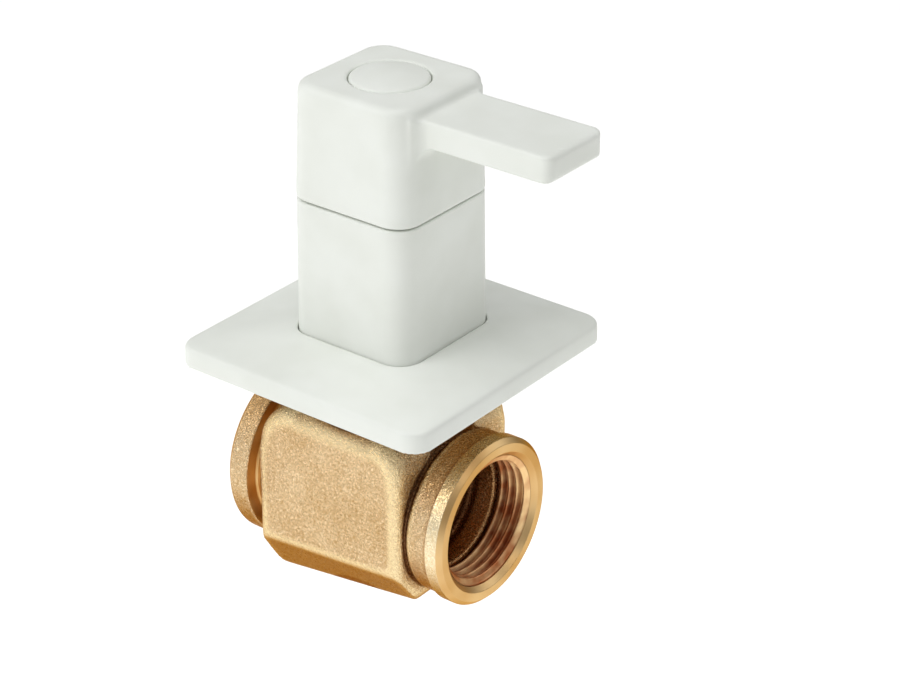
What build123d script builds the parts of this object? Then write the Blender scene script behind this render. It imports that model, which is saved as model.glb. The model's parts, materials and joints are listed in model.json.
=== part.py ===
# Concealed flush cock, millimetres. The origin is on the spindle axis, in the plane of the finished wall.
# +Z points out of the wall along the spindle, +X is the way the water leaves and the lever points when open.
import os
from build123d import *

# Flow axis and the two threaded ends (25 mm nominal size, G 1 parallel threads)
axis_depth = 37.0            # flow axis below the wall plane
outlet_reach = 30.5          # spindle axis to the outlet's end face
inlet_reach = 34.5           # spindle axis to the inlet's end face
thread_radius = 16.62        # major radius of the G 1 thread
thread_length = 9.5
countersink = 1.3            # step from the thread up to the flat end face, at 45 degrees
relief_radius = 14.4         # smooth bore behind the thread
outlet_collar_radius = 21.3
outlet_collar_length = 4.6
outlet_neck_radius = 20.4
outlet_waist_radius = 18.4   # waist between the chamber and the outlet neck
outlet_waist_length = 2.4
inlet_collar_radius = 23.2
inlet_collar_length = 6.4
inlet_groove_radius = 19.4   # turned groove between the inlet collar and the chamber
inlet_groove_length = 2.6
end_chamfer = 1.2

# Cast chamber with flat sides
chamber_outlet_end = 18.5    # spindle axis to the chamber's end on the outlet side
chamber_half_width = 22.0
chamber_rise = 25.0          # top above the flow axis
inlet_chamber_drop = 27.0    # bottom below the flow axis, which slopes up towards the outlet
outlet_chamber_drop = 21.0
inlet_crease_drop = 13.75    # lower edge of the flat sides below the flow axis, with the same slope
outlet_crease_drop = 10.0
bottom_half_width = 13.5
inlet_top_corner = 13.0      # rounded upper corners of the flat sides
outlet_top_corner = 9.0
chamber_low_corner = 4.0
chamber_top_round = 3.0      # long edges, seen from the end
crease_round = 3.0
bottom_round = 6.0
chamber_plan_corner = 2.2
hub_radius = 19.4
hub_top_depth = 8.0          # hub face below the wall plane

# Water ways inside the body
seat_rise = 2.4              # seat above the flow axis
seat_thickness = 3.0
port_radius = 8.6
under_way_radius = 13.8      # half-round way under the seat
under_way_end = 9.8          # spindle axis to the end of that way
bore_end_wall = 3.0          # wall that closes each end bore
chamber_bore_radius = 16.0   # water chamber around the cage
hub_bore_radius = 14.4

# Room between parts
still_clear = 0.1            # around parts that stand still in one another
run_clear = 0.06             # around parts that turn in one another
disc_film = 0.03             # water film between the two discs

# Ceramic discs and headwork
seat_seal_height = 2.0
seat_seal_width = 2.8
disc_height = 3.5
disc_radius = 12.0
disc_hole_inner = 3.4
disc_hole_outer = 9.6
disc_hole_angle = 80.0
disc_lug_width = 4.0
cage_wall = 1.7
cage_lift = 0.8              # foot of the cage above the seat
window_height = 5.5
window_angle = 110.0
headwork_seal_height = 1.2
hexagon_across = 33.0
hexagon_height = 6.0
neck_radius = 10.5
neck_length = 14.0
neck_chamfer = 0.8

# Spindle and its small parts
spindle_radius = 5.0
shoulder_radius = 8.0
shoulder_height = 1.8
thrust_washer_height = 0.8
tang_width = 3.2
tang_depth = 1.6             # how deep the tang sits in the rotating disc
tang_rise = 2.0
drive_across = 7.0           # square at the top of the spindle and of the extension
drive_length = 9.0
ring_section = 1.7
ring_spacing = 6.0
ring_depth = 9.0             # upper spindle ring below the headwork's top
circlip_height = 1.0
circlip_radius = 7.2
circlip_groove = 0.8
circlip_gap = 70.0

# Extension, guide bush, insert and screws
socket_radius = 8.0
socket_roof = 3.0
rod_radius = 5.0
grub_radius = 2.0
bush_wall = 1.5
bush_flange_radius = 9.0
bush_flange_height = 0.4
insert_across = 13.0
insert_length = 12.0
screw_radius = 2.5
screw_length = 14.0
screw_head_radius = 4.2
screw_head_height = 3.0
screw_key_across = 4.0
screw_key_depth = 1.8
screw_hole_spare = 1.5       # tapped hole beyond the screw's tip

# White trim: wall plate, sleeve, handle and cap
plate_side = 73.0
plate_corner = 5.2
plate_edge = 5.0             # height of the rim
plate_crown = 2.75           # rise from the rim to the sleeve
plate_land = 1.0             # flat strip around the sleeve
plate_rim_wall = 3.0
plate_pocket_corner = 2.2
plate_sheet = 1.8
plate_round = 0.7
plate_clear = 0.3
plate_seal_width = 3.0
plate_seal_height = 2.4
gasket_width = 4.0
sleeve_side = 35.0           # at the plate
sleeve_top_side = 34.4
sleeve_rise = 33.75          # above the plate
sleeve_corner = 6.0
sleeve_wall = 2.2
sleeve_roof = 3.0
carrier_flange_height = 1.2
carrier_flange_lap = 1.5     # reach of the carrier's flange under the sleeve's wall
carrier_height = 9.0
carrier_ring_section = 1.8
split_gap = 0.5              # dark line between sleeve and handle
split_round = 0.35
handle_side = 34.6
handle_top_side = 32.95
handle_height = 28.3
handle_corner = 6.0
handle_round = 2.0
handle_wall = 4.0
handle_pocket_corner = 2.5
handle_pocket = 14.0
boss_radius = 9.6
lever_reach = 52.1           # spindle axis to the lever's end
lever_half_width = 10.4
lever_top_drop = 2.7         # lever's top below the block's top
lever_height = 6.5
lever_low_blend = 4.5
lever_top_blend = 0.7
lever_side_blend = 3.0
lever_end_corner = 2.6
lever_end_round = 1.2
cap_radius = 9.4
cap_gap = 0.3
cap_edge = 2.0
cap_dome = 0.9
cap_round = 0.8
cap_skirt_wall = 1.1
cap_skirt_depth = 3.2
screw_well_radius = 7.2
screw_well_depth = 8.4

# Levels and radii that follow from the sizes above
axis_z = -axis_depth
seat_z = axis_z + seat_rise
hub_z = -hub_top_depth
fixed_z = seat_z + seat_seal_height
turning_z = fixed_z + disc_height + disc_film
disc_top_z = turning_z + disc_height
shoulder_z = disc_top_z + window_height
washer_z = shoulder_z + shoulder_height
cage_roof_z = washer_z + thrust_washer_height + disc_film
cage_radius = disc_radius + run_clear + cage_wall
hexagon_z = hub_z + headwork_seal_height
hexagon_top_z = hexagon_z + hexagon_height
neck_top_z = hexagon_top_z + neck_length
circlip_z = neck_top_z + still_clear
socket_z = circlip_z + circlip_height + still_clear
spindle_top_z = socket_z + drive_length
socket_top_z = spindle_top_z + socket_roof
crown_z = plate_edge + plate_crown
plate_roof_z = plate_edge - plate_sheet
sleeve_foot_z = hexagon_top_z + carrier_flange_height
sleeve_top_z = crown_z + sleeve_rise
sleeve_bore_side = sleeve_side - 2 * sleeve_wall
handle_z = sleeve_top_z + split_gap
handle_top_z = handle_z + handle_height
pocket_roof_z = handle_z + handle_pocket
insert_z = pocket_roof_z - insert_length
extension_top_z = pocket_roof_z - still_clear
well_z = handle_top_z - screw_well_depth
cap_ledge_z = handle_top_z - cap_edge
lever_top_z = handle_top_z - lever_top_drop
lever_low_z = lever_top_z - lever_height
bush_radius = rod_radius + run_clear + bush_wall


# Small shapes that several pieces share
def rod(radius, low, high):
    return Pos(0, 0, low) * Cylinder(radius, high - low, align=(Align.CENTER, Align.CENTER, Align.MIN))


def tube(outer, inner, low, high):
    return rod(outer, low, high) - rod(inner, low, high)


def rod_x(radius, start, end, height):
    lying = Rot(0, 90, 0) * Cylinder(radius, end - start, align=(Align.CENTER, Align.CENTER, Align.MIN))
    return Pos(start, 0, height) * lying


def cone_x(start_radius, end_radius, start, end, height):
    lying = Rot(0, 90, 0) * Cone(
        start_radius, end_radius, end - start, align=(Align.CENTER, Align.CENTER, Align.MIN))
    return Pos(start, 0, height) * lying


def square_bar(side, corner, low, high):
    return extrude(Pos(0, 0, low) * RectangleRounded(side, side, corner), high - low)


def tapered_bar(low_side, high_side, low_corner, high_corner, low, high):
    return loft([Pos(0, 0, low) * RectangleRounded(low_side, low_side, low_corner),
                 Pos(0, 0, high) * RectangleRounded(high_side, high_side, high_corner)])


def drive_bar(across, low, high):
    return extrude(Pos(0, 0, low) * Rectangle(across, across), high - low)


def hexagon_bar(across, low, high):
    return extrude(Pos(0, 0, low) * RegularPolygon(across / 2, 6, major_radius=False), high - low)


def sector_bar(inner, outer, angle, low, high, turn):
    # A curved bar between two radii, centred on the direction that turn gives.
    start = Vector(3 * outer, 0).rotate(Axis.Z, -angle / 2)
    end = Vector(3 * outer, 0).rotate(Axis.Z, angle / 2)
    wedge = make_face(Polyline((0, 0), start, (3 * outer, 0), end, close=True))
    face = (Circle(outer) - Circle(inner)) & wedge
    return Pos(0, 0, low) * Rot(0, 0, turn) * extrude(face, high - low)


def o_ring(centre_radius, section, height):
    return Pos(0, 0, height) * Torus(centre_radius, section / 2)


# Valve body: cast outside, turned ends, and the water ways cut from it
def round_rows(face, rows):
    # Rounds the corners that lie at each height of a view.
    for height, radius in rows:
        row = face.vertices().filter_by_position(Axis.Y, height - still_clear, height + still_clear)
        face = fillet(row, radius)
    return face


def chamber_end(x, crease_drop, drop):
    # Outline of the chamber at one end: upright sides down to the crease, then slanting in to the bottom.
    top, low, crease = axis_z + chamber_rise, axis_z - drop, axis_z - crease_drop
    view = make_face(Polyline(
        (-chamber_half_width, top), (-chamber_half_width, crease), (-bottom_half_width, low),
        (bottom_half_width, low), (chamber_half_width, crease), (chamber_half_width, top), close=True))
    view = round_rows(view, ((crease, crease_round), (low, bottom_round), (top, chamber_top_round)))
    return Pos(x, 0, 0) * (Plane.YZ * view)


def cast_chamber():
    # Three shapes cut one another: the run from end to end, the side view and the plan.
    left = -inlet_reach + inlet_collar_length + inlet_groove_length
    right = chamber_outlet_end
    top = axis_z + chamber_rise
    left_low, right_low = axis_z - inlet_chamber_drop, axis_z - outlet_chamber_drop
    long_way = loft([chamber_end(left, inlet_crease_drop, inlet_chamber_drop),
                     chamber_end(right, outlet_crease_drop, outlet_chamber_drop)], ruled=True)
    side_view = make_face(Polyline(
        (left, top), (left, left_low), (right, right_low), (right, top), close=True))
    side_view = round_rows(side_view, ((left_low, chamber_low_corner), (right_low, chamber_low_corner)))
    side_view = fillet(side_view.vertices().group_by(Axis.Y)[-1].sort_by(Axis.X)[0], inlet_top_corner)
    side_view = fillet(side_view.vertices().group_by(Axis.Y)[-1].sort_by(Axis.X)[-1], outlet_top_corner)
    cross_way = extrude(Plane.XZ * side_view, 2 * chamber_half_width, both=True)
    plan = Pos((left + right) / 2, 0) * RectangleRounded(
        right - left, 2 * chamber_half_width, chamber_plan_corner)
    up_way = extrude(Pos(0, 0, left_low) * plan, top - left_low)
    return long_way & cross_way & up_way


def end_collar(radius, face_x, length, way):
    # A turned collar with a chamfered rim. way is +1 at the outlet and -1 at the inlet.
    rim = face_x - way * end_chamfer
    back = face_x - way * length
    if way > 0:
        return rod_x(radius, back, rim, axis_z) + cone_x(radius, radius - end_chamfer, rim, face_x, axis_z)
    return rod_x(radius, rim, back, axis_z) + cone_x(radius - end_chamfer, radius, face_x, rim, axis_z)


def end_bore(reach, inner_end, way):
    # Countersink, thread bore and the smooth bore behind it, for the outlet (+1) or the inlet (-1).
    wide = thread_radius + countersink
    thread_end = reach - countersink - thread_length
    cut = cone_x(thread_radius, wide, reach - countersink, reach, 0)
    cut += rod_x(thread_radius, thread_end, reach - countersink, 0)
    cut += rod_x(relief_radius, inner_end, thread_end, 0)
    if way < 0:
        cut = Rot(0, 0, 180) * cut
    return Pos(0, 0, axis_z) * cut


def valve_body():
    collar_back = outlet_reach - outlet_collar_length
    waist_end = chamber_outlet_end + outlet_waist_length
    groove_start = -inlet_reach + inlet_collar_length
    body = cast_chamber() + rod(hub_radius, axis_z, hub_z)
    body += rod_x(outlet_waist_radius, 0, waist_end, axis_z)
    body += rod_x(outlet_neck_radius, waist_end, collar_back, axis_z)
    body += end_collar(outlet_collar_radius, outlet_reach, outlet_collar_length, 1)
    body += rod_x(inlet_groove_radius, groove_start, 0, axis_z)
    body += end_collar(inlet_collar_radius, -inlet_reach, inlet_collar_length, -1)

    inlet_end = chamber_bore_radius + bore_end_wall
    outlet_end = under_way_end + bore_end_wall
    body -= end_bore(outlet_reach, outlet_end, 1) + end_bore(inlet_reach, inlet_end, -1)
    body -= rod(chamber_bore_radius, seat_z, cage_roof_z) + rod(hub_bore_radius, cage_roof_z, hub_z)
    return body - under_way() - rod(port_radius, axis_z, seat_z)


def under_way():
    # The water goes straight on from the inlet's bore, under the seat.
    inlet_end = chamber_bore_radius + bore_end_wall
    bore = rod_x(under_way_radius, -inlet_end, under_way_end, axis_z)
    return bore & rod(2 * inlet_reach, axis_z - thread_radius, seat_z - seat_thickness)


# Headwork: the insert that screws into the hub and holds the discs
def headwork_body():
    cage_foot = seat_z + cage_lift
    plug_radius = hub_bore_radius - still_clear
    body = rod(cage_radius, cage_foot, cage_roof_z) + rod(plug_radius, cage_roof_z, hexagon_z)
    body += hexagon_bar(hexagon_across, hexagon_z, hexagon_top_z)
    neck = rod(neck_radius, hexagon_top_z, neck_top_z)
    body += chamfer(neck.edges().group_by(Axis.Z)[-1], neck_chamfer)
    body -= rod(disc_radius + run_clear, cage_foot, cage_roof_z)
    body -= rod(spindle_radius + run_clear, cage_roof_z, neck_top_z)
    for turn in (0, 180):
        body -= sector_bar(disc_radius - cage_wall, cage_radius + cage_wall, window_angle, disc_top_z,
                           shoulder_z, turn)
    return body - lug_bar(disc_lug_width + 2 * still_clear, cage_radius, cage_foot, fixed_z + disc_height)


def lug_bar(width, reach, low, high):
    return extrude(Pos(0, 0, low) * Rectangle(width, 2 * reach), high - low)


def headwork_seal():
    return tube(hexagon_across / 2, hub_bore_radius, hub_z, hexagon_z)


# Ceramic discs with two openings each, and the seal under them
def disc_openings(low, high):
    hole = sector_bar(disc_hole_inner, disc_hole_outer, disc_hole_angle, low, high, 0)
    return hole + Rot(0, 0, 180) * hole


def fixed_disc():
    top = fixed_z + disc_height
    lugs = lug_bar(disc_lug_width, cage_radius, fixed_z, top) & rod(cage_radius, fixed_z, top)
    return rod(disc_radius, fixed_z, top) + lugs - disc_openings(fixed_z, top)


def rotating_disc():
    slot = extrude(Pos(0, 0, disc_top_z - tang_depth) * Rectangle(
        tang_width + 2 * still_clear, 2 * (disc_hole_outer + still_clear)), tang_depth)
    return rod(disc_radius, turning_z, disc_top_z) - disc_openings(turning_z, disc_top_z) - slot


def seat_seal():
    return tube(port_radius + seat_seal_width, port_radius, seat_z, fixed_z)


# Spindle with its rings, washer and circlip
def spindle():
    tang_low = disc_top_z - tang_depth + still_clear
    body = extrude(Pos(0, 0, tang_low) * Rectangle(tang_width, 2 * disc_hole_outer), tang_depth + tang_rise)
    body += rod(spindle_radius, disc_top_z + still_clear, circlip_z + circlip_height)
    body += rod(shoulder_radius, shoulder_z, washer_z)
    body += drive_bar(drive_across, circlip_z + circlip_height, spindle_top_z)
    for height in ring_heights():
        body -= ring_groove(height)
    groove_radius = spindle_radius - circlip_groove
    return body - tube(spindle_radius + run_clear, groove_radius, circlip_z, circlip_z + circlip_height)


def ring_heights():
    upper = neck_top_z - ring_depth
    return upper, upper - ring_spacing


def ring_groove(height):
    half = ring_section / 2 + still_clear
    floor = spindle_radius - ring_section - still_clear
    return tube(spindle_radius + run_clear, floor, height - half, height + half)


def spindle_ring(height):
    return o_ring(spindle_radius - ring_section / 2, ring_section, height)


def thrust_washer():
    return tube(shoulder_radius, spindle_radius + run_clear, washer_z, washer_z + thrust_washer_height)


def circlip():
    inner = spindle_radius - circlip_groove + run_clear
    high = circlip_z + circlip_height
    ring = tube(circlip_radius, inner, circlip_z, high)
    return ring - sector_bar(inner / 2, circlip_radius + circlip_groove, circlip_gap, circlip_z, high, 90)


# Extension rod, its set screw and the bush that guides it
def spindle_extension():
    hole = drive_across + 2 * still_clear
    body = rod(socket_radius, socket_z, socket_top_z) + rod(rod_radius, socket_top_z, insert_z)
    body += drive_bar(drive_across, insert_z, extension_top_z)
    body -= drive_bar(hole, socket_z, spindle_top_z + still_clear)
    body -= rod(screw_radius + run_clear, well_z - screw_length - screw_hole_spare, extension_top_z)
    return body - grub_bar(grub_radius + run_clear)


def grub_bar(radius):
    inner = drive_across / 2 + still_clear
    lying = Rot(90, 0, 0) * Cylinder(
        radius, socket_radius - inner, align=(Align.CENTER, Align.CENTER, Align.MIN))
    return Pos(0, -inner, (socket_z + spindle_top_z) / 2) * lying


def grub_screw():
    key = Pos(0, -socket_radius, (socket_z + spindle_top_z) / 2) * Rot(90, 0, 0) * extrude(
        RegularPolygon(grub_radius / 2, 6), grub_radius, both=True)
    return grub_bar(grub_radius) & rod(socket_radius, socket_z, spindle_top_z) - key


def guide_bush():
    inner = rod_radius + run_clear
    flange_top = sleeve_top_z + bush_flange_height
    return (tube(bush_radius, inner, sleeve_top_z - sleeve_roof, sleeve_top_z)
            + tube(bush_flange_radius, inner, sleeve_top_z, flange_top))


# Sleeve and the carrier that holds it on the headwork's neck
def sleeve_carrier():
    top = sleeve_foot_z + carrier_height
    body = rod(sleeve_bore_side / 2 + carrier_flange_lap, hexagon_top_z, sleeve_foot_z)
    body += rod(sleeve_bore_side / 2 - still_clear, sleeve_foot_z, top)
    body -= rod(neck_radius + still_clear, hexagon_top_z, top)
    half = carrier_ring_section / 2 + still_clear
    floor = sleeve_bore_side / 2 - carrier_ring_section - 2 * still_clear
    middle = carrier_ring_height()
    return body - tube(sleeve_bore_side / 2, floor, middle - half, middle + half)


def carrier_ring_height():
    return sleeve_foot_z + carrier_height / 2


def sleeve_ring():
    centre = sleeve_bore_side / 2 - still_clear / 2 - carrier_ring_section / 2
    return o_ring(centre, carrier_ring_section, carrier_ring_height())


def sleeve():
    body = tapered_bar(sleeve_side, sleeve_top_side, sleeve_corner, sleeve_corner, crown_z, sleeve_top_z)
    body = fillet(body.faces().sort_by(Axis.Z)[-1].edges(), split_round)
    body += square_bar(sleeve_side, sleeve_corner, sleeve_foot_z, crown_z)
    bore_corner = sleeve_corner - sleeve_wall
    body -= square_bar(sleeve_bore_side, bore_corner, sleeve_foot_z, sleeve_top_z - sleeve_roof)
    return body - rod(bush_radius + still_clear, sleeve_top_z - sleeve_roof, sleeve_top_z)


# Wall plate: flat rim, faces that rise gently to the sleeve, hollow behind
def wall_plate():
    hole_side = sleeve_side + 2 * plate_clear
    hole_corner = sleeve_corner + plate_clear
    land_side = hole_side + 2 * plate_land
    body = square_bar(plate_side, plate_corner, 0, plate_edge)
    body += tapered_bar(plate_side, land_side, plate_corner, hole_corner + plate_land, plate_edge, crown_z)
    rim = body.edges().filter_by_position(Axis.Z, plate_edge - still_clear, plate_edge + still_clear)
    body = fillet(rim, plate_round)
    body -= square_bar(plate_side - 2 * plate_rim_wall, plate_pocket_corner, 0, plate_roof_z)
    return body - square_bar(hole_side, hole_corner, 0, crown_z)


def plate_seal():
    inner = sleeve_side + 2 * plate_clear
    low = plate_roof_z - plate_seal_height
    ring = square_bar(inner + 2 * plate_seal_width, sleeve_corner + plate_seal_width, low, plate_roof_z)
    return ring - square_bar(inner, sleeve_corner + plate_clear, low, plate_roof_z)


def plate_gasket():
    outer = plate_side - 2 * (plate_rim_wall + still_clear)
    ring = square_bar(outer, plate_pocket_corner, 0, plate_roof_z)
    return ring - square_bar(outer - 2 * gasket_width, plate_pocket_corner, 0, plate_roof_z)


# Handle: square block and lever in one casting, with its insert, screw and cap
def lever():
    # The side view and the plan of the lever cut one another. Both flare out where they meet the block.
    rise = (lever_top_z + lever_low_z) / 2 - handle_z
    face_x = handle_side / 2 - (handle_side - handle_top_side) / 2 * rise / handle_height
    side = flared_outline(face_x, lever_low_z, lever_top_z, lever_low_blend, lever_top_blend, lever_end_round)
    plan = flared_outline(face_x, -lever_half_width, lever_half_width, lever_side_blend, lever_side_blend,
                          lever_end_corner)
    side_bar = extrude(Plane.XZ * side, handle_side / 2, both=True)
    plan_bar = extrude(Pos(0, 0, handle_z) * plan, handle_height)
    return side_bar & plan_bar


def flared_outline(face_x, low, high, low_blend, high_blend, end_round):
    # Outline of a bar that leaves a wall at face_x, with hollow blends at the wall and a rounded end.
    root = face_x - handle_wall / 2
    lines = Polyline((face_x, low - low_blend), (root, low - low_blend), (root, high + high_blend),
                     (face_x, high + high_blend))
    high_arc = RadiusArc((face_x, high + high_blend), (face_x + high_blend, high), -high_blend)
    low_arc = RadiusArc((face_x, low - low_blend), (face_x + low_blend, low), low_blend)
    end = FilletPolyline((face_x + high_blend, high), (lever_reach, high), (lever_reach, low),
                         (face_x + low_blend, low), radius=end_round)
    return make_face(lines + high_arc + end + low_arc)


def handle_lever():
    block = tapered_bar(handle_side, handle_top_side, handle_corner, handle_corner, handle_z, handle_top_z)
    block = fillet(block.faces().sort_by(Axis.Z)[-1].edges(), handle_round)
    block = fillet(block.faces().sort_by(Axis.Z)[0].edges(), split_round)
    pocket = square_bar(handle_side - 2 * handle_wall, handle_pocket_corner, handle_z, pocket_roof_z)
    pocket -= rod(boss_radius, handle_z, pocket_roof_z)
    body = block + lever() - pocket
    body -= hexagon_bar(insert_across + 2 * still_clear, handle_z, pocket_roof_z)
    body -= rod(screw_radius + 2 * still_clear, pocket_roof_z, well_z)
    body -= rod(screw_well_radius, well_z, cap_ledge_z)
    return body - rod(cap_radius + cap_gap, cap_ledge_z, handle_top_z)


def handle_insert():
    bar = hexagon_bar(insert_across, insert_z, pocket_roof_z)
    return bar - drive_bar(drive_across + 2 * still_clear, insert_z, pocket_roof_z)


def handle_screw():
    head_top = well_z + screw_head_height
    body = rod(screw_radius, well_z - screw_length, well_z) + rod(screw_head_radius, well_z, head_top)
    return body - hexagon_bar(screw_key_across, head_top - screw_key_depth, head_top)


def index_cap():
    dome_radius = (cap_radius ** 2 + cap_dome ** 2) / (2 * cap_dome)
    dome_top = handle_top_z + cap_dome
    dome = rod(cap_radius, cap_ledge_z, dome_top) & Pos(0, 0, dome_top - dome_radius) * Sphere(dome_radius)
    rim = dome.edges().filter_by_position(Axis.Z, handle_top_z - still_clear, handle_top_z + still_clear)
    dome = fillet(rim, cap_round)
    skirt_radius = screw_well_radius - still_clear
    skirt_foot = cap_ledge_z - cap_skirt_depth
    return dome + tube(skirt_radius, skirt_radius - cap_skirt_wall, skirt_foot, cap_ledge_z)


upper_ring_z, lower_ring_z = ring_heights()
nodes = {
    "valve_body": valve_body(),
    "headwork_body": headwork_body(),
    "headwork_seal": headwork_seal(),
    "fixed_disc": fixed_disc(),
    "rotating_disc": rotating_disc(),
    "seat_seal": seat_seal(),
    "spindle": spindle(),
    "spindle_ring_upper": spindle_ring(upper_ring_z),
    "spindle_ring_lower": spindle_ring(lower_ring_z),
    "thrust_washer": thrust_washer(),
    "circlip": circlip(),
    "spindle_extension": spindle_extension(),
    "grub_screw": grub_screw(),
    "guide_bush": guide_bush(),
    "sleeve_carrier": sleeve_carrier(),
    "sleeve_ring": sleeve_ring(),
    "sleeve": sleeve(),
    "wall_plate": wall_plate(),
    "plate_seal": plate_seal(),
    "plate_gasket": plate_gasket(),
    "handle_lever": handle_lever(),
    "handle_insert": handle_insert(),
    "handle_screw": handle_screw(),
    "index_cap": index_cap(),
}

os.makedirs("parts", exist_ok=True)
for name, solid in nodes.items():
    export_step(solid, f"parts/{name}.step")
    print(name, round(solid.volume, 1))
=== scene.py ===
import bpy
import json
import math
import numpy as np
from mathutils import Matrix, Vector


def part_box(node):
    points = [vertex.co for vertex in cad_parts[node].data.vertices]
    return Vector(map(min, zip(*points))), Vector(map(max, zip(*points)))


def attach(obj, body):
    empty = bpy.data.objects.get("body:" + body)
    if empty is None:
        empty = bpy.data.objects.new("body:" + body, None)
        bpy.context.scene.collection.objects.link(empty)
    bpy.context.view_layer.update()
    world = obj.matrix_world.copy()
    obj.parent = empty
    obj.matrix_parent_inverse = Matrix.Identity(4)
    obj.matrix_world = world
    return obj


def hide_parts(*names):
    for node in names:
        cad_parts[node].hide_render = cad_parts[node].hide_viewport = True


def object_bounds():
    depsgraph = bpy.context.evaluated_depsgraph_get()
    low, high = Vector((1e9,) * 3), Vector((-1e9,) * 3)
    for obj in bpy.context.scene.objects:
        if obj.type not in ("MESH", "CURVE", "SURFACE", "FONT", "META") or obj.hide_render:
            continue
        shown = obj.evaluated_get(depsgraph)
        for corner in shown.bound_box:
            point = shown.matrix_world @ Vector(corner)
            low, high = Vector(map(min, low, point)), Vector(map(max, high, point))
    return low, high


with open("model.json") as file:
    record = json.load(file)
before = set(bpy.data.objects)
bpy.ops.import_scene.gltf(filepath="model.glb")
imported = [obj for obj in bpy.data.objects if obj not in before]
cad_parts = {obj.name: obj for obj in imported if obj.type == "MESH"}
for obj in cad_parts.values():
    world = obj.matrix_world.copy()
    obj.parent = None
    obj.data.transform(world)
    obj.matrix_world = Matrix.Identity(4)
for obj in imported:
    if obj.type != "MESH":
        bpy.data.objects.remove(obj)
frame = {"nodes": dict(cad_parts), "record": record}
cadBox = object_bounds()
nodes = frame["nodes"]
mounts = {m["name"]: m for m in frame["record"]["mounts"]}
mm = 0.001
print("frame loaded:", len(nodes), "nodes")


# colours are written as sRGB hex and used as linear values
def linearColour(hexText):
    channels = [int(hexText[i:i + 2], 16) / 255 for i in (1, 3, 5)]
    return [c / 12.92 if c <= 0.04045 else ((c + 0.055) / 1.055) ** 2.4 for c in channels] + [1.0]


# settings are input values or node properties, links are input name or number to another node's output
def addNode(tree, kind, settings=None, links=None):
    node = tree.nodes.new("ShaderNode" + kind)
    for key, value in (settings or {}).items():
        if isinstance(key, int) or key in node.inputs:
            node.inputs[key].default_value = value
        else:
            setattr(node, key, value)
    for key, source in (links or {}).items():
        tree.links.new(source, node.inputs[key])
    return node


def newMaterial(name):
    material = bpy.data.materials.new(name)
    material.use_nodes = True
    tree = material.node_tree
    tree.nodes.clear()
    place = addNode(tree, "TexCoord").outputs["Object"]
    shader = addNode(tree, "BsdfPrincipled")
    addNode(tree, "OutputMaterial", links={"Surface": shader.outputs["BSDF"]})
    return material, tree, place, shader


# a ramp from one hex colour to another, over a stretch of the pattern's values
def colourRamp(tree, source, low, high, dark, light):
    ramp = addNode(tree, "ValToRGB", links={"Fac": source})
    first, last = ramp.color_ramp.elements
    first.position, last.position = low, high
    first.color, last.color = linearColour(dark), linearColour(light)
    return ramp.outputs["Color"]


# Materials

# powder coat, sprayed and baked: satin white with a faint orange peel, a little greenish in the shade
def powderCoat():
    look = {"white": "#EFF2EC", "shade": "#EAEDE6", "peelMm": 1.1, "mottleMm": 14.0, "peelDepthMm": 0.012}
    material, tree, place, shader = newMaterial("powderCoatSatinWhite")
    mottle = addNode(tree, "TexNoise", {"Scale": 1 / (look["mottleMm"] * mm), "Detail": 2.0},
                     {"Vector": place})
    peel = addNode(tree, "TexNoise", {"Scale": 1 / (look["peelMm"] * mm), "Detail": 3.0}, {"Vector": place})
    colour = colourRamp(tree, mottle.outputs["Fac"], 0.35, 0.65, look["shade"], look["white"])
    gloss = addNode(tree, "MapRange", {"To Min": 0.40, "To Max": 0.50}, {"Value": peel.outputs["Fac"]})
    bump = addNode(tree, "Bump", {"Strength": 0.25, "Distance": look["peelDepthMm"] * mm},
                   {"Height": peel.outputs["Fac"]})
    tree.links.new(colour, shader.inputs["Base Color"])
    tree.links.new(gloss.outputs["Result"], shader.inputs["Roughness"])
    tree.links.new(bump.outputs["Normal"], shader.inputs["Normal"])
    return material


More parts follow.
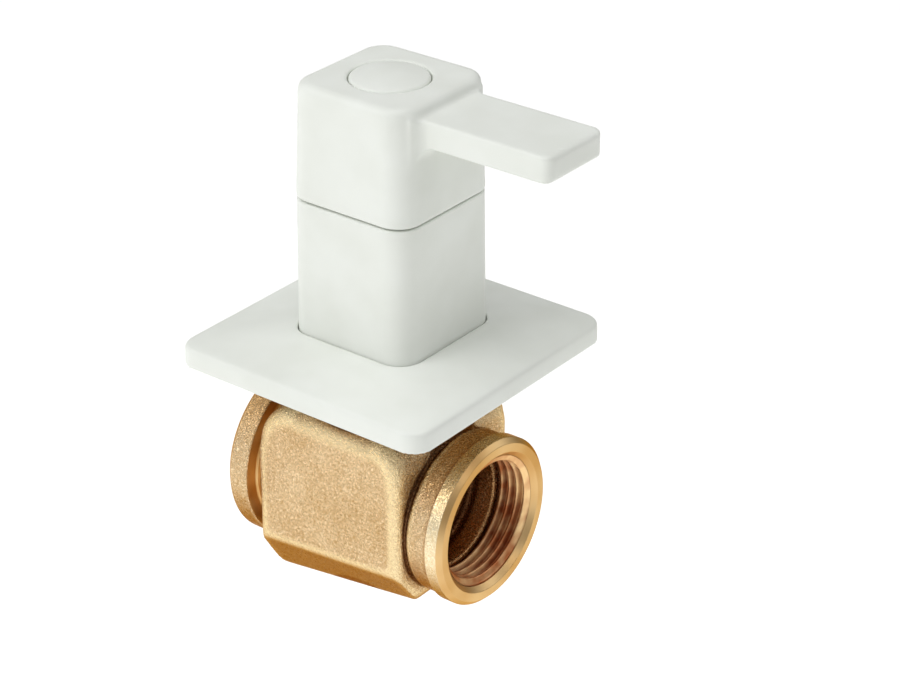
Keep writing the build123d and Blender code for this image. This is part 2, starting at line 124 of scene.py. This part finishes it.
# sand-cast brass, bead blasted: pale tan with a wrinkled grain that glints; edges lighter, partly rubbed wear
# and partly painted highlight; painted brown shade in the hollows, painted reddish-brown shade where a face
# looks down, and a painted golden reflection where a face looks up
# the real grain is about 0.2 mm and is drawn coarser, because so fine a grain doesn't show in the render
def blastedBrass(name, dark, light, edge, grainDepthMm):
    look = {"upFacingReflection": "#EDD0A0", "downFacingShade": "#BC9870", "edge": edge, "hollowShade": "#744A24", "glancing": "#C79F6C",
            "layerShare": 0.85, "grainMm": 0.58, "pitMm": 1.7, "pitShare": 0.5, "patchMm": 16.0,
            "patchShare": 0.3, "roughLow": 0.33, "roughHigh": 0.20}
    material, tree, place, shader = newMaterial(name)
    facing = addNode(tree, "SeparateXYZ", links={"Vector": addNode(tree, "TexCoord").outputs["Normal"]})
    wearAndShade = addNode(tree, "Attribute", {"attribute_name": "wearAndShade"})
    grain = addNode(tree, "TexNoise", {"Scale": 1 / (look["grainMm"] * mm), "Detail": 3.0, "Roughness": 0.55,
                                       "Distortion": 1.2}, {"Vector": place})
    pits = addNode(tree, "TexNoise", {"Scale": 1 / (look["pitMm"] * mm), "Detail": 2.0}, {"Vector": place})
    patch = addNode(tree, "TexNoise", {"Scale": 1 / (look["patchMm"] * mm), "Detail": 3.0}, {"Vector": place})
    tone = addNode(tree, "Math", {"operation": "MULTIPLY_ADD", 1: look["patchShare"]},
                   {0: patch.outputs["Fac"], 2: grain.outputs["Fac"]})
    colour = colourRamp(tree, tone.outputs[0], 0.42, 0.88, dark, light)
    # faces looking up: painted golden reflection
    layers = (("upFacingReflection", "MULTIPLY", facing.outputs["Z"], 0.4, 0.95),
              # edges: lighter, partly rubbed wear and partly painted highlight
              ("edge", "MIX", wearAndShade.outputs["Fac"], 0.03, 0.16),
              # faces looking down: painted reddish-brown shade
              ("downFacingShade", "MULTIPLY", facing.outputs["Z"], -0.10, -0.55),
              # hollows: painted brown shade
              ("hollowShade", "MULTIPLY", wearAndShade.outputs["Fac"], -0.03, -0.14))
    for layer, blend, source, low, high in layers:
        share = addNode(tree, "MapRange", {"From Min": low, "From Max": high, "To Max": look["layerShare"]},
                        {"Value": source})
        colour = addNode(tree, "MixRGB", {"blend_type": blend, "Color2": linearColour(look[layer])},
                         {"Fac": share.outputs["Result"], "Color1": colour}).outputs["Color"]
    height = addNode(tree, "Math", {"operation": "MULTIPLY_ADD", 1: look["pitShare"]},
                     {0: pits.outputs["Fac"], 2: grain.outputs["Fac"]})
    bump = addNode(tree, "Bump", {"Strength": 1.0, "Distance": grainDepthMm * mm},
                   {"Height": height.outputs[0]})
    gloss = addNode(tree, "MapRange", {"From Min": 0.3, "From Max": 0.7, "To Min": look["roughLow"],
                                       "To Max": look["roughHigh"]}, {"Value": grain.outputs["Fac"]})
    shader.inputs["Metallic"].default_value = 1.0
    shader.inputs["Specular Tint"].default_value = linearColour(look["glancing"])
    tree.links.new(colour, shader.inputs["Base Color"])
    tree.links.new(gloss.outputs["Result"], shader.inputs["Roughness"])
    tree.links.new(bump.outputs["Normal"], shader.inputs["Normal"])
    return material


# turned brass, straight from the lathe: bright, with rings around the turning axis and a slow drift in colour
# the lathe's rings are about 0.1 mm apart and are drawn coarser, so that they show in the render
def turnedBrass(name, dark, light, ringMm, axisName, smearMm, smooth, dull):
    look = {"ringDepthMm": 0.012, "glancing": "#C89450", "waveSpan": 0.314}  # a band's span at wave scale 1
    material, tree, place, shader = newMaterial(name)
    smear = addNode(tree, "TexNoise", {"Scale": 1 / (smearMm * mm), "Detail": 2.0}, {"Vector": place})
    rings = addNode(tree, "TexWave", {"wave_type": "BANDS", "bands_direction": axisName,
                                      "wave_profile": "SIN", "Scale": look["waveSpan"] / (ringMm * mm),
                                      "Distortion": 0.6, "Detail": 1.0}, {"Vector": place})
    colour = colourRamp(tree, smear.outputs["Fac"], 0.35, 0.68, dark, light)
    bump = addNode(tree, "Bump", {"Strength": 0.35, "Distance": look["ringDepthMm"] * mm},
                   {"Height": rings.outputs["Fac"]})
    gloss = addNode(tree, "MapRange", {"To Min": smooth, "To Max": dull}, {"Value": smear.outputs["Fac"]})
    shader.inputs["Metallic"].default_value = 1.0
    shader.inputs["Specular Tint"].default_value = linearColour(look["glancing"])
    tree.links.new(colour, shader.inputs["Base Color"])
    tree.links.new(gloss.outputs["Result"], shader.inputs["Roughness"])
    tree.links.new(bump.outputs["Normal"], shader.inputs["Normal"])
    return material


# moulded or lapped small parts: a colour with faint mottling and a fine surface
def smallPartFinish(name, dark, light, grainMm, roughness, metallic):
    look = {"grainDepthMm": 0.02}
    material, tree, place, shader = newMaterial(name)
    grain = addNode(tree, "TexNoise", {"Scale": 1 / (grainMm * mm), "Detail": 3.0}, {"Vector": place})
    colour = colourRamp(tree, grain.outputs["Fac"], 0.3, 0.7, dark, light)
    bump = addNode(tree, "Bump", {"Strength": 0.2, "Distance": look["grainDepthMm"] * mm},
                   {"Height": grain.outputs["Fac"]})
    shader.inputs["Metallic"].default_value = metallic
    shader.inputs["Roughness"].default_value = roughness
    tree.links.new(colour, shader.inputs["Base Color"])
    tree.links.new(bump.outputs["Normal"], shader.inputs["Normal"])
    return material


finishes = {
    "white_paint": powderCoat(),
    "cast_brass": blastedBrass("castBrassBlasted", "#C0965E", "#FBE3BC", "#FFE6B4", 0.34),
    "turned_brass": turnedBrass("brassTurnedBar", "#C99A55", "#E6C184", 0.35, "Z", 12.0, 0.20, 0.30),
    "white_plastic": smallPartFinish("acetalMoulded", "#DADAD3", "#ECECE6", 0.8, 0.45, 0.0),
    "disc_ceramic": smallPartFinish("aluminaLapped", "#E2DCCB", "#F2EEE2", 0.5, 0.22, 0.0),
    "seal_rubber": smallPartFinish("rubberMoulded", "#0E0E0E", "#1C1C1B", 0.6, 0.62, 0.0),
    "screw_steel": smallPartFinish("stainlessBright", "#8E8E90", "#B4B5B8", 0.4, 0.30, 1.0),
}
collarBrass = blastedBrass("castBrassRubbed", "#E9CC98", "#FFF2D2", "#FFF2D2", 0.16)
# the walls inside the bores and the chamber take a darker copy of the cast brass: painted shade
insideBrass = blastedBrass("castBrassInside", "#AE8762", "#D8B084", "#C89A66", 0.25)
endBrass = turnedBrass("brassTurnedEnds", "#D2A76C", "#ECCB94", 0.45, "X", 18.0, 0.36, 0.44)
threadBrass = turnedBrass("brassCutThread", "#C67C4E", "#FFDDA6", 0.30, "X", 6.0, 0.46, 0.58)
grooveBrass = turnedBrass("brassTurnedGroove", "#CF9E5E", "#EFCB90", 0.40, "X", 9.0, 0.40, 0.50)
slotOf = {s["node"]: s["material_slot"] for s in frame["record"]["subparts"]}
for nodeName, nodeObject in nodes.items():
    nodeObject.data.materials.clear()
    nodeObject.data.materials.append(finishes[slotOf[nodeName]])
print("materials ready:", len(bpy.data.materials))


# Meshes
def addPiece(name, mesh, body):
    piece = bpy.data.objects.new(name, mesh)
    bpy.context.scene.collection.objects.link(piece)
    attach(piece, body)
    return piece


# the mesh as its modifiers leave it
def appliedMesh(piece):
    bpy.context.view_layer.update()
    graph = bpy.context.evaluated_depsgraph_get()
    return bpy.data.meshes.new_from_object(piece.evaluated_get(graph))


def verticesOf(mesh):
    points = np.empty(len(mesh.vertices) * 3)
    mesh.vertices.foreach_get("co", points)
    return points.reshape(-1, 3)


# an even skin over a CAD solid, softened where the weights say so, as a casting or a coat of paint is
def softenedCopy(node, voxelMm, rounds, weigh, shape=None):
    work = bpy.data.objects.new("softening", node.data.copy())
    bpy.context.scene.collection.objects.link(work)
    remesh = work.modifiers.new("skin", "REMESH")
    remesh.mode = "VOXEL"
    remesh.voxel_size = voxelMm * mm
    mesh = appliedMesh(work)
    work.modifiers.clear()
    work.data = mesh
    if shape:
        mesh.vertices.foreach_set("co", (shape(verticesOf(mesh) / mm) * mm).ravel())
    group = work.vertex_groups.new(name="soft")
    for index, weight in enumerate(weigh(verticesOf(mesh) / mm)):
        if weight > 0:
            group.add([index], weight, "REPLACE")
    smooth = work.modifiers.new("soften", "SMOOTH")
    smooth.vertex_group = "soft"
    smooth.factor = 0.5
    smooth.iterations = rounds
    mesh = appliedMesh(work)
    bpy.data.objects.remove(work)
    mesh.polygons.foreach_set("use_smooth", [True] * len(mesh.polygons))
    return mesh


def faceMiddles(mesh):
    middles = np.empty(len(mesh.polygons) * 3)
    mesh.polygons.foreach_get("center", middles)
    return middles.reshape(-1, 3) / mm


# keeps the faces whose middle the test accepts
def keepFaces(mesh, test):
    wanted = test(faceMiddles(mesh))
    points = verticesOf(mesh)
    faces = [list(p.vertices) for p, keep in zip(mesh.polygons, wanted) if keep]
    used = sorted({v for face in faces for v in face})
    renumber = {old: new for new, old in enumerate(used)}
    kept = bpy.data.meshes.new(mesh.name)
    kept.from_pydata(points[used].tolist(), [], [[renumber[v] for v in face] for face in faces])
    kept.polygons.foreach_set("use_smooth", [True] * len(kept.polygons))
    return kept


# how sharply each point stands out (+) or lies in a hollow (-), in 1/mm, evened out over the points around
# it; where noHollow is true, hollows aren't counted
def storeWearAndShade(mesh, spacingMm, rounds, noHollow):
    points = verticesOf(mesh) / mm
    normals = np.empty(points.size)
    mesh.vertices.foreach_get("normal", normals)
    edges = np.empty(len(mesh.edges) * 2, dtype=int)
    mesh.edges.foreach_get("vertices", edges)
    one, other = edges.reshape(-1, 2).T
    count = np.bincount(np.concatenate([one, other]), minlength=len(points)).clip(1)[:, None]

    def around(values):
        total = np.zeros_like(values)
        np.add.at(total, one, values[other])
        np.add.at(total, other, values[one])
        return total / count

    lift = ((points - around(points)) * normals.reshape(-1, 3)).sum(axis=1, keepdims=True)
    for _ in range(rounds):
        lift = (lift + around(lift)) / 2
    bend = lift[:, 0] * 4 / spacingMm ** 2  # a point of the even skin has four neighbours
    bend = np.where(noHollow(points), bend.clip(0), bend)
    # stored for the shader: what stands out is lightened, partly as rubbed wear and partly as painted
    # highlight, and the hollows get painted shade
    wearAndShade = mesh.attributes.new("wearAndShade", "FLOAT", "POINT")
    wearAndShade.data.foreach_set("value", bend.astype(np.float32))


flowZ = mounts["outlet_thread"]["pos_m"][2] / mm
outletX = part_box("valve_body")[1].x / mm
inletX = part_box("valve_body")[0].x / mm


# a ring turned about the flow axis from (x, radius) points in mm; each stretch takes a material number
def turnedMesh(name, points, stretches, materials, segments=160):
    rows = []
    for x, radius in points:
        for step in range(segments):
            angle = 2 * math.pi * step / segments
            rows.append((x * mm, radius * math.sin(angle) * mm, (flowZ + radius * math.cos(angle)) * mm))
    faces = []
    for row in range(len(points) - 1):
        for step in range(segments):
            after = (step + 1) % segments
            faces.append((row * segments + step, row * segments + after,
                          (row + 1) * segments + after, (row + 1) * segments + step))
    mesh = bpy.data.meshes.new(name)
    mesh.from_pydata(rows, [], faces)
    for material in materials:
        mesh.materials.append(material)
    mesh.polygons.foreach_set("material_index", np.repeat(stretches, segments).tolist())
    mesh.polygons.foreach_set("use_smooth", [True] * len(mesh.polygons))
    mesh.update()
    return mesh


# Valve body: cast skin in the middle, turned ends and cut threads
casting = {"voxelMm": 0.45, "softRounds": 36, "wearAndShadeRounds": 12, "boreRadiusMm": 17.6, "boreFromMm": 8.0,
           "chamberRadiusMm": 16.6, "collarBackMm": 4.6, "grooveEndMm": 9.0, "outletLapMm": 0.4,
           "inletLapMm": 0.3, "hubKeepMm": -10.0, "topRiseMm": 8.0, "edgeShare": 0.3, "neckMm": 18.5,
           "neckShare": 0.7, "unshadedNeckMm": 20.1}
tiny = 1e-6  # mm, keeps a length that is divided by above zero


# the walls of the two bores and of the water chamber under the hub
def insideOf(points):
    fromFlow = np.hypot(points[:, 1], points[:, 2] - flowZ)
    fromSpindle = np.hypot(points[:, 0], points[:, 1])
    inBore = (fromFlow < casting["boreRadiusMm"]) & (np.abs(points[:, 0]) > casting["boreFromMm"])
    return inBore | (fromSpindle < casting["chamberRadiusMm"])


# the upper edges are softest, then the neck; the bores and the hub's turned top stay as they are
def castWeights(points):
    soft = np.where(points[:, 2] > flowZ + casting["topRiseMm"], 1.0, casting["edgeShare"])
    soft[points[:, 0] > casting["neckMm"]] = casting["neckShare"]
    soft[insideOf(points)] = 0
    soft[points[:, 2] > casting["hubKeepMm"]] = 0
    return soft


# brings the neck's flare close up to the chamber's end, so that only a narrow valley is left between them
def flareNeck(points):
    neck = {"from": 18.6, "to": 20.2, "end": 25.9, "low": 19.0, "high": 20.6}  # x, then radius, in mm
    x, y, z = points.T
    radial = np.hypot(y, z - flowZ).clip(tiny)
    rise = ((x - neck["from"]) / (neck["to"] - neck["from"])).clip(0, 1)
    flare = neck["low"] + (neck["high"] - neck["low"]) * rise * rise * (3 - 2 * rise)
    along = (x > neck["from"]) & (x < neck["end"])
    grown = np.where(along & (radial > casting["boreRadiusMm"]) & (radial < flare), flare / radial, 1.0)
    shaped = points.copy()
    shaped[:, 1] *= grown
    shaped[:, 2] = flowZ + (z - flowZ) * grown
    return shaped


# rounds the long upper edges of the flat sides, along the top and around the two upper corners
def roundUpperEdges(points):
    chamber = {"left": inletX + casting["grooveEndMm"], "right": 18.5, "top": flowZ + 25.0, "halfWidth": 22.0,
               "leftCorner": 13.0, "rightCorner": 9.0, "edgeRound": 4.6, "cornerRound": 3.2, "blend": 4.0,
               "slack": 0.5, "endSlack": 0.3, "farAway": 99.0}
    x, y, z = points.T
    leftAt, rightAt = chamber["left"] + chamber["leftCorner"], chamber["right"] - chamber["rightCorner"]
    beside = np.where(x < leftAt, x - leftAt, np.where(x > rightAt, x - rightAt, 0.0))
    corner = np.where(x < leftAt, chamber["leftCorner"], chamber["rightCorner"])
    above = z - (chamber["top"] - corner)
    reach = np.hypot(beside, above).clip(tiny)
    fromTop = np.where(above > 0, corner - reach, chamber["farAway"])
    fromSide = chamber["halfWidth"] - np.abs(y)
    share = (np.abs(beside) / chamber["blend"]).clip(0, 1)
    radius = chamber["edgeRound"] + share * (chamber["cornerRound"] - chamber["edgeRound"])
    across, over = radius - fromSide, radius - fromTop
    apart = np.hypot(across, over)
    onChamber = ((x > chamber["left"] - chamber["endSlack"]) & (x < chamber["right"] + chamber["endSlack"])
                 & (fromTop > -chamber["slack"]) & (fromSide > -chamber["slack"]))
    proud = (across > 0) & (over > 0) & (apart > radius) & onChamber
    excess = np.where(proud, 1 - radius / apart.clip(tiny), 0.0)
    shaped = points.copy()
    shaped[:, 0] -= excess * over * beside / reach
    shaped[:, 1] -= excess * across * np.sign(y)
    shaped[:, 2] -= excess * over * above / reach
    return shaped


castMesh = softenedCopy(nodes["valve_body"], casting["voxelMm"], casting["softRounds"], castWeights,
                        lambda p: flareNeck(roundUpperEdges(p)))
skinFrom = inletX + casting["grooveEndMm"] - casting["inletLapMm"]
skinTo = outletX - casting["collarBackMm"] + casting["outletLapMm"]
castMesh = keepFaces(castMesh, lambda p: (p[:, 0] > skinFrom) & (p[:, 0] < skinTo))
castMesh.name = "bodyCasting"
castMesh.materials.append(finishes["cast_brass"])
castMesh.materials.append(insideBrass)
castMesh.polygons.foreach_set("material_index", insideOf(faceMiddles(castMesh)).astype(int).tolist())
storeWearAndShade(castMesh, casting["voxelMm"], casting["wearAndShadeRounds"], lambda p: p[:, 0] > casting["unshadedNeckMm"])
bodyCasting = addPiece("bodyCasting", castMesh, "root")
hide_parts("valve_body")
print("casting skin:", len(castMesh.vertices), "points")

# the turned ends, in mm
ends = {"outletRadius": 21.3, "inletRadius": 23.2, "chamfer": 1.2, "countersink": 1.3, "neckRadius": 20.4,
        "grooveRadius": 19.4, "grooveLength": 2.6, "inletCollar": 6.4, "edgeRound": 0.25, "edgeAngleDeg": 25,
        "lap": 0.6, "leadIn": 0.4, "leadInRise": 0.1}
threadRadius = mounts["outlet_thread"]["dims"]["r_mm"]


# (x, radius) points from the neck over the collar and its face into the thread; small steps break the edges
def outletRing():
    face, back = outletX, outletX - casting["collarBackMm"]
    outer = ends["outletRadius"]
    return [(back - 0.05, ends["neckRadius"] - ends["lap"]), (back, outer - 0.2), (back + 0.2, outer),
            (face - ends["chamfer"], outer), (face, outer - ends["chamfer"]),
            (face, threadRadius + ends["countersink"]), (face - ends["countersink"], threadRadius),
            (face - ends["countersink"] - ends["leadIn"], threadRadius + ends["leadInRise"])]


# the same from the thread over the larger collar and through the groove up to the chamber
def inletRing():
    face, outer = inletX, ends["inletRadius"]
    collarEnd = face + ends["inletCollar"]
    grooveEnd = collarEnd + ends["grooveLength"]
    groove = ends["grooveRadius"]
    return [(face + ends["countersink"] + ends["leadIn"], threadRadius + ends["leadInRise"]),
            (face + ends["countersink"], threadRadius),
            (face, threadRadius + ends["countersink"]), (face, outer - ends["chamfer"]),
            (face + ends["chamfer"], outer), (collarEnd - 0.3, outer), (collarEnd, outer - 0.3),
            (collarEnd, groove + 0.5), (collarEnd + 0.5, groove), (grooveEnd - 0.6, groove),
            (grooveEnd - 0.15, groove + 0.5), (grooveEnd, groove + 1.4)]


outletMesh = turnedMesh("outletEnd", outletRing(), [1, 1, 1, 0, 0, 0, 0], [endBrass, collarBrass])
inletMesh = turnedMesh("inletEnd", inletRing(), [0, 0, 0, 0, 1, 1, 2, 2, 2, 2, 2],
                       [endBrass, finishes["cast_brass"], grooveBrass])
for endMesh in (outletMesh, inletMesh):
    ring = addPiece(endMesh.name, endMesh, "root")
    edge = ring.modifiers.new("edges", "BEVEL")
    edge.width = ends["edgeRound"] * mm
    edge.segments = 3
    edge.limit_method = "ANGLE"
    edge.angle_limit = math.radians(ends["edgeAngleDeg"])
    ring.modifiers.new("normals", "WEIGHTED_NORMAL").keep_sharp = True

# pipe thread G 1: 55 degree V, 11 turns to the inch, in mm; crestFlat and leadIn are shares of the pitch
thread = {"pitch": 2.309, "depth": 1.479, "rowsPerPitch": 14, "steps": 168, "crestFlat": 0.16, "leadIn": 0.25,
          "clearance": 0.04}


# the turns of one end's thread; way -1 gives the mirror image of way 1
def threadMesh(name, mount, way):
    middle, length = mount["pos_m"][0] / mm, mount["dims"]["length_mm"]
    count = int(length / thread["pitch"] * thread["rowsPerPitch"])
    rows, faces = [], []
    for row in range(count + 1):
        x = middle - length / 2 + length * row / count
        for step in range(thread["steps"]):
            turn = step / thread["steps"]
            phase = (x * way / thread["pitch"] + turn) % 1.0
            ridge = 1 - abs(2 * phase - 1)
            flat = thread["crestFlat"]
            ridge = min(max((ridge - flat) / (1 - 2 * flat), 0), 1)
            fromEnd = min(x - (middle - length / 2), middle + length / 2 - x)
            ridge *= min(fromEnd / (thread["leadIn"] * thread["pitch"]), 1)
            radius = threadRadius - thread["clearance"] - thread["depth"] * ridge
            angle = 2 * math.pi * turn
            rows.append((x * mm, radius * math.sin(angle) * mm, (flowZ + radius * math.cos(angle)) * mm))
    for row in range(count):
        for step in range(thread["steps"]):
            after = (step + 1) % thread["steps"]
            faces.append((row * thread["steps"] + step, (row + 1) * thread["steps"] + step,
                          (row + 1) * thread["steps"] + after, row * thread["steps"] + after))
    mesh = bpy.data.meshes.new(name)
    mesh.from_pydata(rows, [], faces)
    mesh.materials.append(threadBrass)
    mesh.polygons.foreach_set("use_smooth", [True] * len(faces))
    mesh.update()
    return mesh


for pieceName, mountName, way in (("outletThread", "outlet_thread", 1), ("inletThread", "inlet_thread", -1)):
    addPiece(pieceName, threadMesh(pieceName, mounts[mountName], way), "root")
print("turned ends and threads ready")



# White trim: a softened copy of a node under its coat of paint
def paintedSkin(name, nodeName, body, settings, weigh):
    mesh = softenedCopy(nodes[nodeName], settings["voxelMm"], settings["softRounds"], weigh)
    mesh.name = name
    mesh.materials.clear()
    mesh.materials.append(finishes["white_paint"])
    skin = addPiece(name, mesh, body)
    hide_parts(nodeName)
    print("painted skin:", name, len(mesh.vertices), "points")


# the handle's block and lever; its foot stays crisp over the sleeve
handle = {"voxelMm": 0.38, "softRounds": 14, "footMm": 1.5, "footShare": 0.15}
paintedSkin("handleCasting", "handle_lever", "turning", handle,
            lambda p: np.where(p[:, 2] > p[:, 2].min() + handle["footMm"], 1.0, handle["footShare"]))

# the plate's rim is rounded over; the pocket behind and the hole for the sleeve stay as they are
plate = {"voxelMm": 0.36, "softRounds": 46, "rimFromMm": 30.0, "pocketHalfMm": 33.7, "pocketDepthMm": 3.4,
         "backMm": 0.8}


def plateWeights(points):
    fromMiddle = np.abs(points[:, :2]).max(axis=1)
    inPocket = (fromMiddle < plate["pocketHalfMm"]) & (points[:, 2] < plate["pocketDepthMm"])
    onRim = (fromMiddle > plate["rimFromMm"]) & (points[:, 2] > plate["backMm"])
    return np.where(onRim & ~inPocket, 1.0, 0.0)


paintedSkin("plateSkin", "wall_plate", "plate", plate, plateWeights)

# Stage: pale floor, well below the object, which hangs free as in a catalogue picture; a sheet of white paper
# with painted light: it glows a little, and greys with painted shade from fadeFrom to fadeTo (m) towards the
# far right, away from the window
stage = {"floorDropMm": 110.0, "floorSize": 6.0, "paper": "#F7F7F5", "paperShade": "#D6D6D3", "glow": 0.44,
         "glowShade": 0.08, "shadeTowards": (0.79, 0.61, 0.0), "fadeFrom": 0.30, "fadeTo": 0.70}
floorZ = cadBox[0][2] - stage["floorDropMm"] * mm
floorMesh = bpy.data.meshes.new("floor")
half = stage["floorSize"] / 2
corners = [(-half, -half, floorZ), (half, -half, floorZ), (half, half, floorZ), (-half, half, floorZ)]
floorMesh.from_pydata(corners, [], [(0, 1, 2, 3)])
floor = bpy.data.objects.new("floor", floorMesh)
bpy.context.scene.collection.objects.link(floor)
floorMaterial, floorTree, floorPlace, floorShader = newMaterial("paperSweepWhite")
floorShader.inputs["Roughness"].default_value = 0.8
floorShader.inputs["Emission Color"].default_value = linearColour("#FFFFFF")
across = addNode(floorTree, "VectorMath", {"operation": "DOT_PRODUCT", 1: stage["shadeTowards"]},
                 {0: floorPlace})
glow = addNode(floorTree, "MapRange", {"From Min": stage["fadeFrom"], "From Max": stage["fadeTo"],
                                       "To Min": stage["glow"], "To Max": stage["glowShade"]},
               {"Value": across.outputs["Value"]})
floorTree.links.new(glow.outputs["Result"], floorShader.inputs["Emission Strength"])
paper = colourRamp(floorTree, across.outputs["Value"], stage["fadeFrom"], stage["fadeTo"],
                   stage["paper"], stage["paperShade"])
floorTree.links.new(paper, floorShader.inputs["Base Color"])
floorMesh.materials.append(floorMaterial)

# studio walls: bright towards the window at the front left, dim at the far right
studio = {"window": (-0.55, -0.75, 0.3), "dim": 0.13, "bright": 0.52}
world = bpy.data.worlds.new("studio")
bpy.context.scene.world = world
world.use_nodes = True
worldTree = world.node_tree
worldTree.nodes.clear()
around = addNode(worldTree, "TexCoord").outputs["Generated"]
window = Vector(studio["window"]).normalized()
towards = addNode(worldTree, "VectorMath", {"operation": "DOT_PRODUCT", 1: window}, {0: around})
level = addNode(worldTree, "MapRange", {"From Min": -1.0, "From Max": 1.0, "To Min": studio["dim"],
                                        "To Max": studio["bright"]}, {"Value": towards.outputs["Value"]})
sky = addNode(worldTree, "Background", {"Color": linearColour("#FFFFFF")},
              {"Strength": level.outputs["Result"]})
addNode(worldTree, "OutputWorld", links={"Surface": sky.outputs["Background"]})

# soft area lights, all turned to the origin; places and sizes in m
lights = {
    "keyFrontLeft": {"at": (-0.45, -0.9, 0.85), "size": 0.6, "watts": 5.1},
    "topSoft": {"at": (-0.1, -0.15, 1.2), "size": 0.9, "watts": 3.8},
    "rightHigh": {"at": (0.9, 0.05, 0.5), "size": 0.35, "watts": 0.9},
    "backHigh": {"at": (0.5, 0.75, 0.6), "size": 0.7, "watts": 1.8},
}
for lightName, light in lights.items():
    lamp = bpy.data.lights.new(lightName, "AREA")
    lamp.size = light["size"]
    lamp.energy = light["watts"]
    holder = bpy.data.objects.new(lightName, lamp)
    bpy.context.scene.collection.objects.link(holder)
    holder.location = light["at"]
    holder.rotation_euler = (-Vector(light["at"])).to_track_quat("-Z", "Y").to_euler()

# Camera at the photo's angle: azimuth from -Y towards +X, and the point of the picture where the sleeve's
# foot lies
view = {"azimuthDeg": 37.77, "elevationDeg": 28.05, "distanceMm": 609.07, "focalPx": 2563.26,
        "footPx": (392.64, 320.99), "footMm": (0.0, 0.0, 7.75), "framePx": (900, 675), "sensorMm": 36.0}
azimuth, elevation = math.radians(view["azimuthDeg"]), math.radians(view["elevationDeg"])
right = Vector((math.cos(azimuth), math.sin(azimuth), 0))
back = Vector((math.sin(azimuth) * math.cos(elevation), -math.cos(azimuth) * math.cos(elevation),
               math.sin(elevation)))
up = back.cross(right)
perPx = view["distanceMm"] / view["focalPx"]
place = (Vector(view["footMm"]) + back * view["distanceMm"]
         - right * (view["footPx"][0] - view["framePx"][0] / 2) * perPx
         + up * (view["footPx"][1] - view["framePx"][1] / 2) * perPx)
cameraData = bpy.data.cameras.new("camera")
cameraData.sensor_width = view["sensorMm"]
cameraData.lens = view["sensorMm"] * view["focalPx"] / view["framePx"][0]
cameraData.clip_start = 0.01
camera = bpy.data.objects.new("camera", cameraData)
bpy.context.scene.collection.objects.link(camera)
turn = Matrix((right, up, back)).transposed().to_4x4()
camera.matrix_world = Matrix.Translation(place * mm) @ turn
bpy.context.scene.camera = camera
bpy.context.scene.view_settings.view_transform = "Standard"
print("stage, lights and camera ready")
